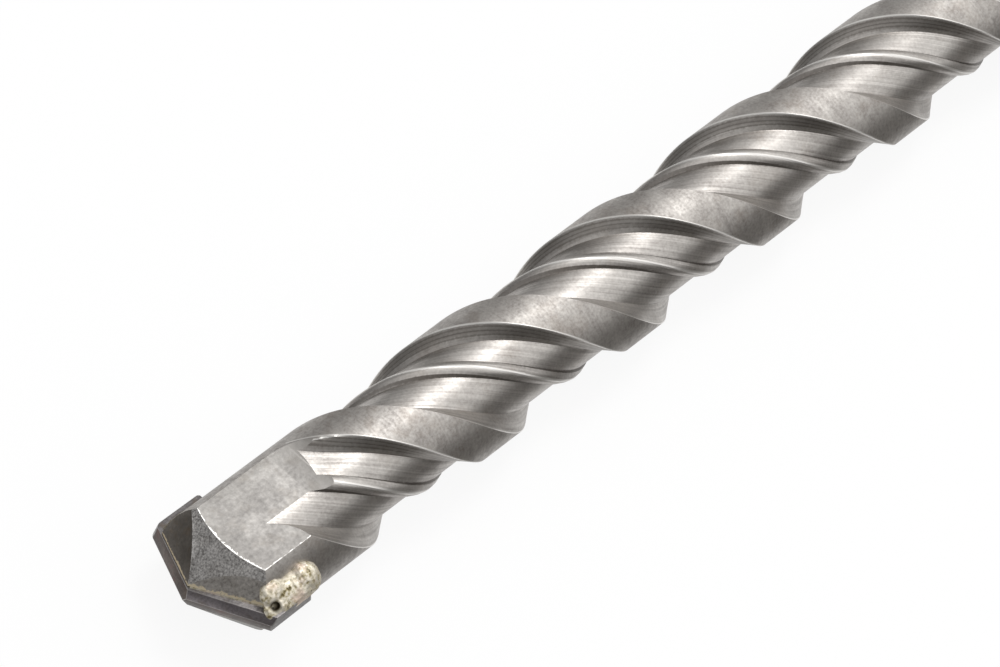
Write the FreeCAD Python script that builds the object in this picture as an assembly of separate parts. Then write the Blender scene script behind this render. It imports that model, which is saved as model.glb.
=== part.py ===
import FreeCAD, Part
import math
import os

# A two-cutter masonry drill bit with a 10 mm slotted hammer-drill shank, 16 x 210 mm.
# X runs along the axis, from the middle of the shank's end face to the point.
# Z is square to the two flats of the head, and the carbide plate lies nearly along Y.
# The bit turns clockwise as the user sees it from the shank, so its flutes are right-handed.

Vector = FreeCAD.Vector

# Overall
overall_length = 210.0

# Shank
shank_diameter = 10.0
shank_length = 57.5
shank_end_chamfer_length = 1.8
shank_end_chamfer_depth = 1.1
shank_fillet_radius = 4.8
turned_ring_count = 2
turned_ring_spacing = 0.8
turned_ring_depth = 0.12
turned_ring_setback = 0.3

# Open driving grooves, opposite each other and open at the shank's end
drive_groove_length = 30.5
drive_groove_mouth = 5.0
drive_groove_floor_width = 3.4
drive_groove_floor_height = 2.5
drive_groove_angle = 0.0

# Closed locking grooves, a quarter turn from the driving grooves
lock_groove_start = 5.4
lock_groove_end = 27.0
lock_groove_ramp = 2.9
lock_groove_radius = 4.5
lock_groove_floor_height = 3.2

# Collar and lands, one diameter from the rim to the head
land_diameter = 13.4
rim_height = 0.12
rim_width = 0.45
plain_collar_length = 25.0

# Flute, an axial section that is swept along a helix with two starts.
# Offsets run along the axis from the land's rear edge towards the shank.
flute_starts = 2
flute_lead = 41.3
land_width = 5.3
rear_flank_run = 1.6
deep_floor_radius = 4.93
rib_offset = 7.2
rib_wall_run = 0.25
rib_shoulder_radius = 5.32
rib_crest_offset = 8.5
rib_crest_radius = 5.7
rib_back_offset = 9.75
rib_back_radius = 5.42
rib_crown_height = 0.07
rib_step_run = 0.2
high_floor_radius = 5.18
front_flank_run = 1.45
flute_phase = -56.8

# Runouts, where the cutter lifts out of the bar
head_runout_angle = 3.0
runout_lift_rate = 0.0009
collar_runout_tilt = 2.1
collar_runout_lift_rate = 0.0016

# Head
flat_height = 4.86
flat_length = 14.3
flat_end_slant = 0.495
flat_end_radius = 2.5
point_angle = 133.0
bevel_slope = 1.088
bevel_setback = -0.706
bevel_axis_drop = 7.5
gash_setback = -0.2
gash_lip_slope = 0.5
gash_outward_slope = 0.6
heel_setback = -0.36
heel_outward_slope = 0.72

# Carbide plate, turned a little against the flats. Each lip is a ridge with a relief behind it
# and a rake chamfer in front of it.
plate_turn = 8.0
cutting_diameter = 16.8
plate_thickness = 2.3
plate_length = 9.3
plate_side_relief = 0.6
plate_back_taper = 0.01
plate_rear_chamfer = 0.8
lip_relief_slope = 0.386
rake_slope = 0.586
lip_height = 0.28

# Braze
braze_gap = 0.15
bead_setback = 7.3
bead_half_length = 2.9
bead_height = 0.5
bead_side_radius = 2.0
bead_angle = 66.0
bead_skirt_height = 1.0
bead_skirt_margin = 0.15
heel_bead_length = 1.6
heel_bead_half_width = 1.0

# How the cuts are drawn: how far they reach beyond the surface, and how finely the flute is lofted
cut_overlap = 1.0
cutter_overhang = 1.6
flute_clearance = 0.3
loft_angle_step = 30.0
loft_steps_per_piece = 12
loft_degree = 3

# Worked out from the sizes above
shank_radius = shank_diameter / 2
land_radius = land_diameter / 2
half_plate = plate_thickness / 2
half_lead = flute_lead / flute_starts
degrees_per_mm = 360.0 / flute_lead
point_slope = 1 / math.tan(math.radians(point_angle / 2))
cutting_radius = cutting_diameter / 2
reach = 4 * land_radius


def head_point(back, across, height):
    """A point of the head: its distance behind the point, along Y and along Z."""
    return Vector(overall_length - back, across, height)


def ring_point(back, angle, radius):
    """A point at a radius and an angle from +Z towards +Y, at a distance behind the point."""
    turn = math.radians(angle)
    return head_point(back, radius * math.sin(turn), radius * math.cos(turn))


def turned(shape, angle):
    """The same shape turned round the axis by an angle."""
    copy = shape.copy()
    copy.rotate(Vector(0, 0, 0), Vector(1, 0, 0), angle)
    return copy


def half_turn(shape):
    """The same shape turned half round the axis."""
    return turned(shape, 180)


def face_through(points):
    """A flat face with the given corners."""
    return Part.Face(Part.makePolygon(points + points[:1]))


def space_in_front(back_at_axis, slope_across, slope_up):
    """Everything in front of a slanting plane, which says how far behind the point steel may start."""
    corners = []
    for across, height in ((-1, -1), (1, -1), (1, 1), (-1, 1)):
        back = back_at_axis + slope_across * across * reach + slope_up * height * reach
        corners.append(head_point(back, across * reach, height * reach))
    return face_through(corners).extrude(Vector(4 * reach, 0, 0))


# Turned blank
def turned_blank():
    """Shank, flared shoulder, collar and the bar that the flutes are cut in, turned as one."""
    rise = land_radius + rim_height - shank_radius
    flare = math.sqrt(shank_fillet_radius ** 2 - (shank_fillet_radius - rise) ** 2)
    flare_start = shank_length - flare
    flare_centre_radius = shank_radius + shank_fillet_radius
    half_sweep = math.asin(flare / shank_fillet_radius) / 2
    flare_middle = Vector(flare_start + shank_fillet_radius * math.sin(half_sweep), 0,
                          flare_centre_radius - shank_fillet_radius * math.cos(half_sweep))
    edges = []
    points = [Vector(0, 0, 0), Vector(0, 0, shank_radius - shank_end_chamfer_depth),
              Vector(shank_end_chamfer_length, 0, shank_radius)]
    for ring in range(turned_ring_count):
        centre = flare_start - turned_ring_setback - (turned_ring_count - 1 - ring) * turned_ring_spacing
        for step, depth in ((-2, 0), (0, 1), (2, 0)):
            radius = shank_radius - depth * turned_ring_depth
            points.append(Vector(centre + step * turned_ring_depth, 0, radius))
    points.append(Vector(flare_start, 0, shank_radius))
    for first, second in zip(points, points[1:]):
        edges.append(Part.makeLine(first, second))
    rim_point = Vector(shank_length, 0, land_radius + rim_height)
    edges.append(Part.Arc(points[-1], flare_middle, rim_point).toShape())
    outline = [rim_point, Vector(shank_length + rim_width / 2, 0, land_radius + rim_height),
               Vector(shank_length + rim_width, 0, land_radius), Vector(overall_length, 0, land_radius),
               Vector(overall_length, 0, 0), points[0]]
    for first, second in zip(outline, outline[1:]):
        edges.append(Part.makeLine(first, second))
    return Part.Face(Part.Wire(edges)).revolve(Vector(0, 0, 0), Vector(1, 0, 0), 360)


# Shank grooves
def drive_groove():
    """The cutter's path for one open groove with slanted walls and a round end."""
    wall_slope = (drive_groove_mouth - drive_groove_floor_width) / 2
    mouth_height = math.sqrt(shank_radius ** 2 - (drive_groove_mouth / 2) ** 2)
    spread = wall_slope / (mouth_height - drive_groove_floor_height)
    top = 2 * shank_radius
    floor_half = drive_groove_floor_width / 2
    top_half = floor_half + spread * (top - drive_groove_floor_height)
    end = drive_groove_length - drive_groove_mouth / 2
    start = -shank_radius
    section = face_through([Vector(start, -floor_half, drive_groove_floor_height),
                            Vector(start, floor_half, drive_groove_floor_height),
                            Vector(start, top_half, top), Vector(start, -top_half, top)])
    run = section.extrude(Vector(end - start, 0, 0))
    round_end = Part.makeCone(floor_half, top_half, top - drive_groove_floor_height,
                              Vector(end, 0, drive_groove_floor_height), Vector(0, 0, 1))
    return run.fuse(round_end)


def lock_groove():
    """The cutter's path for one closed round-bottomed groove with sloping ends."""
    centre = lock_groove_floor_height + lock_groove_radius
    rim_reach = centre - shank_radius
    ramp_rate = lock_groove_ramp / (lock_groove_radius - rim_reach)
    tail = rim_reach * ramp_rate
    first_floor = lock_groove_start + lock_groove_ramp
    last_floor = lock_groove_end - lock_groove_ramp
    floor_height = centre - lock_groove_radius
    corners = [Vector(lock_groove_start - tail, 0, centre), Vector(first_floor, 0, floor_height),
               Vector(last_floor, 0, floor_height), Vector(lock_groove_end + tail, 0, centre)]
    return face_through(corners).revolve(Vector(0, 0, centre), Vector(1, 0, 0), 360)


# Helical flute
def flute_section():
    """The corners of the flute's axial section, as offsets and radii, from one land to the next."""
    flute_width = half_lead - land_width
    rear_rate = rear_flank_run / (land_radius - deep_floor_radius)
    front_rate = front_flank_run / (land_radius - high_floor_radius)
    shoulder = (rib_offset + rib_wall_run, rib_shoulder_radius)
    crest = (rib_crest_offset, rib_crest_radius)
    back = (rib_back_offset, rib_back_radius)
    return [(-cutter_overhang * rear_rate, land_radius + cutter_overhang),
            (rear_flank_run, deep_floor_radius), (rib_offset, deep_floor_radius),
            shoulder, crown_point(shoulder, crest), crest, crown_point(crest, back), back,
            (rib_back_offset + rib_step_run, high_floor_radius),
            (flute_width - front_flank_run, high_floor_radius),
            (flute_width + cutter_overhang * front_rate, land_radius + cutter_overhang)]


def crown_point(first, second):
    """The point of the rib's rounded crown midway between two others."""
    return (first[0] + second[0]) / 2, (first[1] + second[1]) / 2 + rib_crown_height


def cutter_lift(angle, offset, last_angle):
    """How far the cutter has left its full depth, at both ends of the flute."""
    lift = 0.0
    if angle < head_runout_angle:
        lift = runout_lift_rate * (head_runout_angle - angle) ** 2
    collar_start = last_angle + collar_runout_tilt * (offset - (half_lead - land_width))
    if angle > collar_start:
        lift = collar_runout_lift_rate * (angle - collar_start) ** 2
    return lift


def flute_cutters():
    """The solids, end to end along the helix, that one flute takes out of the bar."""
    deepest = land_radius - deep_floor_radius + flute_clearance
    flute_width = half_lead - land_width
    first_angle = head_runout_angle - math.sqrt(deepest / runout_lift_rate)
    flute_end_back = overall_length - shank_length - plain_collar_length
    surface_lift = math.sqrt((land_radius - high_floor_radius) / collar_runout_lift_rate)
    last_angle = flute_phase + degrees_per_mm * (flute_end_back - flute_width) - surface_lift
    stop_angle = last_angle + math.sqrt(deepest / collar_runout_lift_rate)
    step_count = math.ceil((stop_angle - first_angle) / loft_angle_step)
    exact_step = (stop_angle - first_angle) / step_count

    def place(angle, offset, radius):
        back = (angle - flute_phase) / degrees_per_mm + offset
        return ring_point(back, angle, radius + cutter_lift(angle, offset, last_angle))

    def section(index):
        angle = first_angle + index * exact_step
        points = [place(angle, offset, radius) for offset, radius in flute_section()]
        return Part.makePolygon(points + points[:1])

    cutters = []
    for first in range(0, step_count, loft_steps_per_piece):
        last = min(first + loft_steps_per_piece, step_count)
        sections = [section(index) for index in range(first, last + 1)]
        cutters.append(Part.makeLoft(sections, True, False, False, loft_degree))
    return cutters


# Head
def bevel_space():
    """Everything in front of the coned bevel on one side of the head."""
    cone_length = 2 * reach
    cone_base = Vector(overall_length - bevel_setback + bevel_axis_drop * bevel_slope, 0, -bevel_axis_drop)
    cone = Part.makeCone(0, cone_length / bevel_slope, cone_length, cone_base, Vector(-1, 0, 0))
    block = Part.makeBox(2 * reach, 2 * reach, 2 * reach, Vector(overall_length - reach, -reach, -reach))
    return block.cut(cone)


def gash_space():
    """Everything in front of the facet that leads up to one lip."""
    return turned(space_in_front(gash_setback, gash_lip_slope, gash_outward_slope), plate_turn)


def heel_space():
    """Everything in front of the facet that is ground behind one lip."""
    return turned(space_in_front(heel_setback, -point_slope, heel_outward_slope), plate_turn)


def front_spaces():
    """Everything in front of the ground faces on one side of the head."""
    return [bevel_space(), gash_space(), heel_space()]


def plate_slot():
    """The slot across the head."""
    half = half_plate + braze_gap
    length = plate_length + braze_gap
    slot = Part.makeBox(length + reach, 2 * reach, 2 * half, Vector(overall_length - length, -reach, -half))
    return turned(slot, plate_turn)


def flat_space():
    """What is milled off above one flat, with a rear end that slants and rises in a fillet."""
    top = 2 * land_radius
    wall_back = flat_length + flat_end_radius

    def corner(back, height):
        return head_point(back + flat_end_slant * reach, -reach, height)

    def on_fillet(turn):
        return corner(flat_length + flat_end_radius * math.sin(turn),
                      flat_height + flat_end_radius * (1 - math.cos(turn)))

    edges = [Part.makeLine(corner(-reach, flat_height), corner(flat_length, flat_height)),
             Part.Arc(on_fillet(0), on_fillet(math.pi / 4), on_fillet(math.pi / 2)).toShape(),
             Part.makeLine(corner(wall_back, flat_height + flat_end_radius), corner(wall_back, top)),
             Part.makeLine(corner(wall_back, top), corner(-reach, top)),
             Part.makeLine(corner(-reach, top), corner(-reach, flat_height))]
    return Part.Face(Part.Wire(edges)).extrude(Vector(2 * reach * flat_end_slant, 2 * reach, 0))


def head_blank(bar):
    """The bar with the flats and the ground front of its head, before the slot."""
    blank = bar
    for space in [flat_space()] + front_spaces():
        blank = blank.cut(space)
        blank = blank.cut(half_turn(space))
    return blank


def carbide_plate():
    """The plate with its roof-shaped point, its slanted sides and its chamfered rear corners."""
    lip = cutting_radius
    heel = cutting_radius - plate_side_relief
    ends = []
    for back in (-cut_overlap, plate_length):
        taper = plate_back_taper * max(back, 0)
        corners = [head_point(back, lip - taper, half_plate), head_point(back, heel - taper, -half_plate),
                   head_point(back, taper - lip, -half_plate), head_point(back, taper - heel, half_plate)]
        ends.append(Part.makePolygon(corners + corners[:1]))
    plate = Part.makeLoft(ends, True, True)
    for space in (relief_space(), rake_space(), rear_corner_space()):
        plate = plate.cut(space)
        plate = plate.cut(half_turn(space))
    return turned(plate, plate_turn)


def relief_space():
    """Everything in front of the ground relief behind one lip."""
    return space_in_front(0, point_slope, -lip_relief_slope)


def rake_space():
    """Everything in front of the rake chamfer of one lip, which meets the relief at the lip's height."""
    return space_in_front(-(rake_slope + lip_relief_slope) * lip_height, point_slope, rake_slope)


def rear_corner_space():
    """The chamfer at one rear corner of the plate."""
    edge = cutting_radius - plate_back_taper * plate_length
    corners = [head_point(plate_length - plate_rear_chamfer, edge + cut_overlap, 0),
               head_point(plate_length - plate_rear_chamfer, edge, 0),
               head_point(plate_length + cut_overlap, edge - plate_rear_chamfer - cut_overlap, 0),
               head_point(plate_length + cut_overlap, edge + cut_overlap, 0)]
    prism = face_through(corners).extrude(Vector(0, 0, 2 * reach))
    prism.translate(Vector(0, 0, -reach))
    return prism


# Braze
def braze_bead():
    """The lump of braze that stands on the bar beside the plate's lower corner."""
    axis_height = land_radius + bead_height - bead_side_radius
    end_radius = bead_side_radius - bead_height
    left = Vector(-bead_half_length, 0, end_radius)
    right = Vector(bead_half_length, 0, end_radius)
    outline = [Part.Arc(left, Vector(0, 0, bead_side_radius), right).toShape(),
               Part.makeLine(right, Vector(bead_half_length, 0, 0)),
               Part.makeLine(Vector(bead_half_length, 0, 0), Vector(-bead_half_length, 0, 0)),
               Part.makeLine(Vector(-bead_half_length, 0, 0), left)]
    lump = Part.Face(Part.Wire(outline)).revolve(Vector(0, 0, 0), Vector(1, 0, 0), 360)
    lump.translate(Vector(overall_length - bead_setback, 0, axis_height))
    return turned(lump, -bead_angle)


def bead_skirt():
    """The braze that runs from the bead down over the plate's broad face, almost to its side."""
    front = bead_setback - bead_half_length + bead_skirt_margin
    outer = cutting_radius - bead_skirt_margin
    inner = land_radius - 2 * bead_height
    corners = [head_point(front, inner, 0), head_point(front, outer, 0),
               head_point(front, outer, half_plate + bead_skirt_margin),
               head_point(front, land_radius, half_plate + bead_skirt_height),
               head_point(front, inner, half_plate + bead_skirt_height)]
    skirt = face_through(corners).extrude(Vector(front - plate_length, 0, 0))
    return turned(skirt, plate_turn)


def heel_bead():
    """The little ramp of braze behind the end of the plate that stands out of the bar."""
    edge = cutting_radius - plate_side_relief - plate_back_taper * plate_length
    corners = [head_point(plate_length - plate_rear_chamfer, edge, 0),
               head_point(plate_length, edge - plate_rear_chamfer / 2, 0),
               head_point(plate_length + heel_bead_length, land_radius - bead_height / 2, 0),
               head_point(plate_length - plate_rear_chamfer, land_radius - bead_height / 2, 0)]
    ramp = face_through(corners).extrude(Vector(0, 0, 2 * heel_bead_half_width))
    ramp.translate(Vector(0, 0, -heel_bead_half_width))
    return turned(ramp, plate_turn)


def braze_filling(blank, body, plate):
    """The braze in the slot, joined with its beads and cut to meet body and plate face to face."""
    beads = [braze_bead(), bead_skirt(), heel_bead()]
    filling = blank.common(plate_slot()).fuse(beads + [half_turn(bead) for bead in beads])
    filling = filling.cut(body)
    filling = filling.cut(plate)
    lip_spaces = [turned(relief_space(), plate_turn), turned(rake_space(), plate_turn)]
    for space in front_spaces() + lip_spaces:
        filling = filling.cut(space)
        filling = filling.cut(half_turn(space))
    return filling


def main():
    os.makedirs("parts", exist_ok=True)
    bar = turned_blank()
    drive = turned(drive_groove(), drive_groove_angle)
    lock = turned(lock_groove(), drive_groove_angle + 90)
    bar = bar.cut([drive, half_turn(drive), lock, half_turn(lock)])
    cutters = flute_cutters()
    bar = bar.cut(cutters + [half_turn(cutter) for cutter in cutters])
    blank = head_blank(bar)
    body = blank.cut(plate_slot())
    plate = carbide_plate()
    braze = braze_filling(blank, body, plate)
    nodes = {"drill_body": body, "carbide_tip": plate, "braze_joint": braze}
    for name, shape in nodes.items():
        shape.exportStep("parts/" + name + ".step")


main()
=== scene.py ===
import logging
import math
from dataclasses import dataclass
from enum import Enum
from typing import ClassVar

import bmesh
import bpy
import numpy as np
from bpy.types import Material, Mesh, NodeTree, Object
from mathutils import Matrix, Vector


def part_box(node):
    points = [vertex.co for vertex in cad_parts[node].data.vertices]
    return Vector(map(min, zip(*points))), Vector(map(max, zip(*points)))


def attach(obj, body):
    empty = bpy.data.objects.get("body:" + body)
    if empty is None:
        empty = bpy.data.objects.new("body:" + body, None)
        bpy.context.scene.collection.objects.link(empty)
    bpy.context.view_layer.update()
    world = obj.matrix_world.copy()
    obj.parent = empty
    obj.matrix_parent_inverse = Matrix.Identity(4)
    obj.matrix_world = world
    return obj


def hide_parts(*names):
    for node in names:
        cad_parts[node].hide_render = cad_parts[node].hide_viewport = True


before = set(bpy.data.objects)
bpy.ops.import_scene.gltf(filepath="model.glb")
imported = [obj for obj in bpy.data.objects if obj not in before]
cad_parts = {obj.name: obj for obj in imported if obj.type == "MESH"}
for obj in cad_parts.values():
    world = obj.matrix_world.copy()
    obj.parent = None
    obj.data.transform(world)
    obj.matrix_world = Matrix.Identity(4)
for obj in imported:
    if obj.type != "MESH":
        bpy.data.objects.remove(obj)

log = logging.getLogger("drill_bit")

# Everything below is in millimetres, in the frame of the part, until it is written to a mesh.
MM = 0.001
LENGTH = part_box("carbide_tip")[1][0] / MM

# A solid as its outlines, end to end: each has one row of x, y and z for each point.
Rings = list[np.ndarray]


def linear(colour: str) -> tuple[float, float, float, float]:
    """Turns an sRGB hex colour to linear red, green, blue and alpha.

    Args:
        colour: a hex colour such as "#8090A0".

    Returns:
        The four numbers that a colour socket takes.
    """
    parts = [int(colour[place : place + 2], 16) / 255 for place in (1, 3, 5)]
    values = [part / 12.92 if part <= 0.04045 else ((part + 0.055) / 1.055) ** 2.4 for part in parts]
    return (values[0], values[1], values[2], 1.0)


def add_node(
    tree: NodeTree, kind: str, settings: dict | None = None, links: dict | None = None
) -> bpy.types.Node:
    """Adds a node to a tree with its settings, and fills or links its inputs.

    Args:
        tree: the shader or geometry tree.
        kind: Blender's name of the node type.
        settings: the node's own properties, by name.
        links: its inputs by name or number, each an output socket to link or a value to set.

    Returns:
        The new node.
    """
    node = tree.nodes.new(kind)
    for name, value in (settings or {}).items():
        setattr(node, name, value)
    for name, value in (links or {}).items():
        socket = node.inputs[name]
        if isinstance(value, bpy.types.NodeSocket):
            tree.links.new(value, socket)
        else:
            socket.default_value = value
    return node


def add_steps(tree: NodeTree, values: dict, steps: list[tuple]) -> None:
    """Adds a chain of arithmetic in which each step may use the results before it.

    Args:
        tree: the shader or geometry tree.
        values: sockets and numbers by name, which the results are added to.
        steps: for each step its result's name, the operation and two names or numbers. LINEAR and SMOOTHSTEP
            take a value, the two ends of its range and what they are turned to.
    """
    for name, operation, *parts in steps:
        inputs = {place: values.get(part, part) for place, part in enumerate(parts)}
        if operation in ("LINEAR", "SMOOTHSTEP"):
            node = add_node(tree, "ShaderNodeMapRange", {"interpolation_type": operation}, inputs)
        else:
            node = add_node(tree, "ShaderNodeMath", {"operation": operation}, inputs)
        values[name] = node.outputs[0]


@dataclass(frozen=True)
class Turning:
    """Sizes of the turned blank: shank, flared shoulder and collar."""

    shank_radius: float = 5.0
    shank_length: float = 57.5
    end_chamfer_length: float = 1.8
    end_chamfer_depth: float = 1.1
    fillet_radius: float = 4.8
    fillet_steps: int = 12
    ring_count: int = 2
    ring_spacing: float = 0.8
    ring_depth: float = 0.12
    ring_setback: float = 0.3
    land_radius: float = 6.7
    rim_height: float = 0.12
    rim_width: float = 0.45

    def flare_start(self) -> float:
        """Where the shank starts to flare, from its end."""
        rise = self.land_radius + self.rim_height - self.shank_radius
        return self.shank_length - math.sqrt(self.fillet_radius**2 - (self.fillet_radius - rise) ** 2)

    def outline(self) -> list[tuple[float, float]]:
        """The turned outline.

        Returns:
            Pairs of the place along the axis and the radius, from the shank's end to the collar.
        """
        pairs = [(0.0, self.shank_radius - self.end_chamfer_depth),
                 (self.end_chamfer_length, self.shank_radius)]
        start = self.flare_start()
        for ring in range(self.ring_count):
            centre = start - self.ring_setback - (self.ring_count - 1 - ring) * self.ring_spacing
            # Each turned ring is a notch whose two sides are twice as long as it is deep.
            for step, depth in ((-2, 0), (0, 1), (2, 0)):
                pairs.append((centre + step * self.ring_depth, self.shank_radius - depth * self.ring_depth))
        for step in range(self.fillet_steps + 1):
            along = (self.shank_length - start) * step / self.fillet_steps
            height = self.fillet_radius - math.sqrt(self.fillet_radius**2 - along**2)
            pairs.append((start + along, self.shank_radius + height))
        pairs.append((self.shank_length + self.rim_width / 2, self.land_radius + self.rim_height))
        pairs.append((self.shank_length + self.rim_width, self.land_radius))
        return pairs


@dataclass(frozen=True)
class Flute:
    """Sizes of the two-start flute. Offsets run along the axis from a land's rear edge to the shank."""

    lead: float = 41.3
    starts: int = 2
    land_width: float = 5.3
    land_radius: float = 6.7
    rear_flank_run: float = 1.6
    deep_floor_radius: float = 4.93
    rib_offset: float = 7.2
    rib_wall_run: float = 0.25
    rib_shoulder_radius: float = 5.32
    rib_crest_offset: float = 8.5
    rib_crest_radius: float = 5.7
    rib_crown_height: float = 0.07
    rib_back_offset: float = 9.75
    rib_back_radius: float = 5.42
    rib_step_run: float = 0.2
    high_floor_radius: float = 5.18
    front_flank_run: float = 1.45
    phase: float = -56.8
    head_runout: float = 3.0
    head_lift_rate: float = 0.0009
    collar_tilt: float = 2.1
    collar_lift_rate: float = 0.0016
    end_back: float = 127.5

    def pitch(self) -> float:
        """The distance along the axis from one land to the next."""
        return self.lead / self.starts

    def width(self) -> float:
        """The width of a groove along the axis."""
        return self.pitch() - self.land_width

    def turn_rate(self) -> float:
        """Degrees of helix for each millimetre."""
        return 360.0 / self.lead

    def section(self) -> list[tuple[float, float]]:
        """The groove's section from one land to the next.

        Returns:
            Pairs of offset and radius.
        """
        shoulder = (self.rib_offset + self.rib_wall_run, self.rib_shoulder_radius)
        crest = (self.rib_crest_offset, self.rib_crest_radius)
        back = (self.rib_back_offset, self.rib_back_radius)
        return [
            (0.0, self.land_radius),
            (self.rear_flank_run, self.deep_floor_radius),
            (self.rib_offset, self.deep_floor_radius),
            shoulder,
            self.crown(shoulder, crest),
            crest,
            self.crown(crest, back),
            back,
            (self.rib_back_offset + self.rib_step_run, self.high_floor_radius),
            (self.width() - self.front_flank_run, self.high_floor_radius),
            (self.width(), self.land_radius),
            (self.pitch(), self.land_radius),
        ]

    def crown(self, first: tuple[float, float], second: tuple[float, float]) -> tuple[float, float]:
        """The point of the rib's rounded crown midway between two others."""
        return (first[0] + second[0]) / 2, (first[1] + second[1]) / 2 + self.rib_crown_height

    def collar_start(self) -> float:
        """The helix angle at which the cutter starts to leave the bar at the collar."""
        surface_lift = math.sqrt((self.land_radius - self.high_floor_radius) / self.collar_lift_rate)
        return self.phase + self.turn_rate() * (self.end_back - self.width()) - surface_lift


@dataclass(frozen=True)
class Grinding:
    """Sizes of the ground head. A plane is a distance behind the point plus slopes across and up."""

    flat_height: float = 4.86
    flat_length: float = 14.35
    flat_end_radius: float = 8.0
    point_slope: float = 1 / math.tan(math.radians(66.5))
    bevel_slope: float = 1.088
    bevel_setback: float = -0.706
    bevel_axis_drop: float = 7.5
    gash_setback: float = 0.0
    gash_lip_slope: float = 0.5
    gash_outward_slope: float = 0.62
    heel_setback: float = -0.36
    heel_outward_slope: float = 0.72


@dataclass(frozen=True)
class PlateSizes:
    """Sizes of the hard-metal plate, which is turned a little against the flats, and of the gap round it."""

    turn: float = 8.0
    half_width: float = 8.4
    half_thickness: float = 1.15
    length: float = 9.3
    side_relief: float = 0.6
    back_taper: float = 0.01
    rear_chamfer: float = 0.8
    relief_slope: float = 0.386
    rake_slope: float = 0.586
    lip_height: float = 0.28
    gap: float = 0.15

    def rake_setback(self) -> float:
        """Where the rake chamfer's plane meets the axis, behind the point."""
        return -(self.rake_slope + self.relief_slope) * self.lip_height


@dataclass(frozen=True)
class BitSizes:
    """All the sizes of the bit."""

    turning: Turning = Turning()
    flute: Flute = Flute()
    grinding: Grinding = Grinding()
    plate: PlateSizes = PlateSizes()


def mesh_from(name: str, vertices: np.ndarray, faces: list) -> Object:
    """Makes an object from vertices and faces, with the faces of a closed shape pointing outwards.

    Args:
        name: the object's name.
        vertices: one row of x, y and z in millimetres for each vertex.
        faces: lists of vertex numbers.

    Returns:
        The object, linked to the scene.
    """
    mesh = bpy.data.meshes.new(name)
    mesh.from_pydata((np.asarray(vertices) * MM).tolist(), [], faces)
    mesh.update()
    work = bmesh.new()
    work.from_mesh(mesh)
    bmesh.ops.recalc_face_normals(work, faces=work.faces)
    work.to_mesh(mesh)
    work.free()
    made = bpy.data.objects.new(name, mesh)
    bpy.context.scene.collection.objects.link(made)
    return made


def loft(rings: Rings) -> Object:
    """Joins outlines to a closed solid with flat ends.

    Args:
        rings: the outlines, all with the same number of points.

    Returns:
        The solid.
    """
    count = len(rings[0])
    faces = [list(range(count))[::-1]]
    for base in range(0, (len(rings) - 1) * count, count):
        for place in range(count):
            follow = (place + 1) % count
            faces.append([base + place, base + follow, base + count + follow, base + count + place])
    last = (len(rings) - 1) * count
    faces.append([last + place for place in range(count)])
    return mesh_from("solid", np.vstack(rings), faces)


def circle(along: float | np.ndarray, radius: float, steps: int) -> np.ndarray:
    """Points round the axis from +Z towards +Y, at one place along it or each at its own."""
    angles = np.radians(np.arange(steps) * 360.0 / steps)
    return np.column_stack([np.broadcast_to(along, steps), radius * np.sin(angles), radius * np.cos(angles)])


def turned(vertices: np.ndarray | list, degrees: float) -> np.ndarray:
    """The same points turned round the axis, from +Y towards +Z."""
    cos, sin = math.cos(math.radians(degrees)), math.sin(math.radians(degrees))
    return np.asarray(vertices) @ np.array([[1, 0, 0], [0, cos, -sin], [0, sin, cos]]).T


def both(rings: Rings) -> list[Rings]:
    """The same solid on both sides of the bit: as it is, and turned half round the axis."""
    return [rings, [ring * np.array([1.0, -1.0, -1.0]) for ring in rings]]


def duplicate(piece: Object, name: str) -> Object:
    """Copies a piece with its mesh and links the copy to the scene.

    Args:
        piece: the piece.
        name: the copy's name.

    Returns:
        The copy.
    """
    made = piece.copy()
    made.data = piece.data.copy()
    made.name = name
    bpy.context.scene.collection.objects.link(made)
    return made


def applied(piece: Object) -> None:
    """Turns the piece's evaluated shape into its own plain mesh and removes its modifiers.

    Args:
        piece: the piece, which changes.
    """
    graph = bpy.context.evaluated_depsgraph_get()
    mesh = bpy.data.meshes.new_from_object(piece.evaluated_get(graph))
    piece.modifiers.clear()
    old = piece.data
    piece.data = mesh
    bpy.data.meshes.remove(old)


def combine(piece: Object, cutters: list[Object], operation: str = "DIFFERENCE") -> None:
    """Cuts closed shapes out of a piece, or joins them to it, and deletes them.

    Args:
        piece: the piece to change.
        cutters: the shapes, one after the other.
        operation: DIFFERENCE, UNION or INTERSECT.
    """
    for cutter in cutters:
        modifier = piece.modifiers.new("cut", "BOOLEAN")
        modifier.operation = operation
        modifier.solver = "MANIFOLD"
        modifier.object = cutter
        applied(piece)
        mesh = cutter.data
        bpy.data.objects.remove(cutter)
        bpy.data.meshes.remove(mesh)


def read(items: bpy.types.bpy_prop_collection, name: str, width: int = 1) -> np.ndarray:
    """Reads one property of all of a mesh's vertices, loops or faces.

    Args:
        items: the mesh's vertices, loops or polygons.
        name: the property.
        width: how many numbers each has; those with one are whole numbers.

    Returns:
        The numbers, with a row for each item where there are several.
    """
    found = np.zeros(len(items) * width)
    items.foreach_get(name, found)
    return found.reshape(-1, width) if width > 1 else found.astype(int)


def dress(mesh: Mesh, materials: list[Material], zones: np.ndarray, sharp: float) -> None:
    """Gives a mesh its materials and smooth shading.

    Args:
        mesh: the mesh.
        materials: its materials, in order.
        zones: for each face the number of its material.
        sharp: from what bend, in degrees, an edge is sharp.
    """
    mesh.materials.clear()
    for material in materials:
        mesh.materials.append(material)
    mesh.polygons.foreach_set("material_index", zones.astype(np.int32))
    mesh.polygons.foreach_set("use_smooth", np.ones(len(zones), dtype=bool))
    mesh.set_sharp_from_angle(angle=math.radians(sharp))
    mesh.update()


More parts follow.
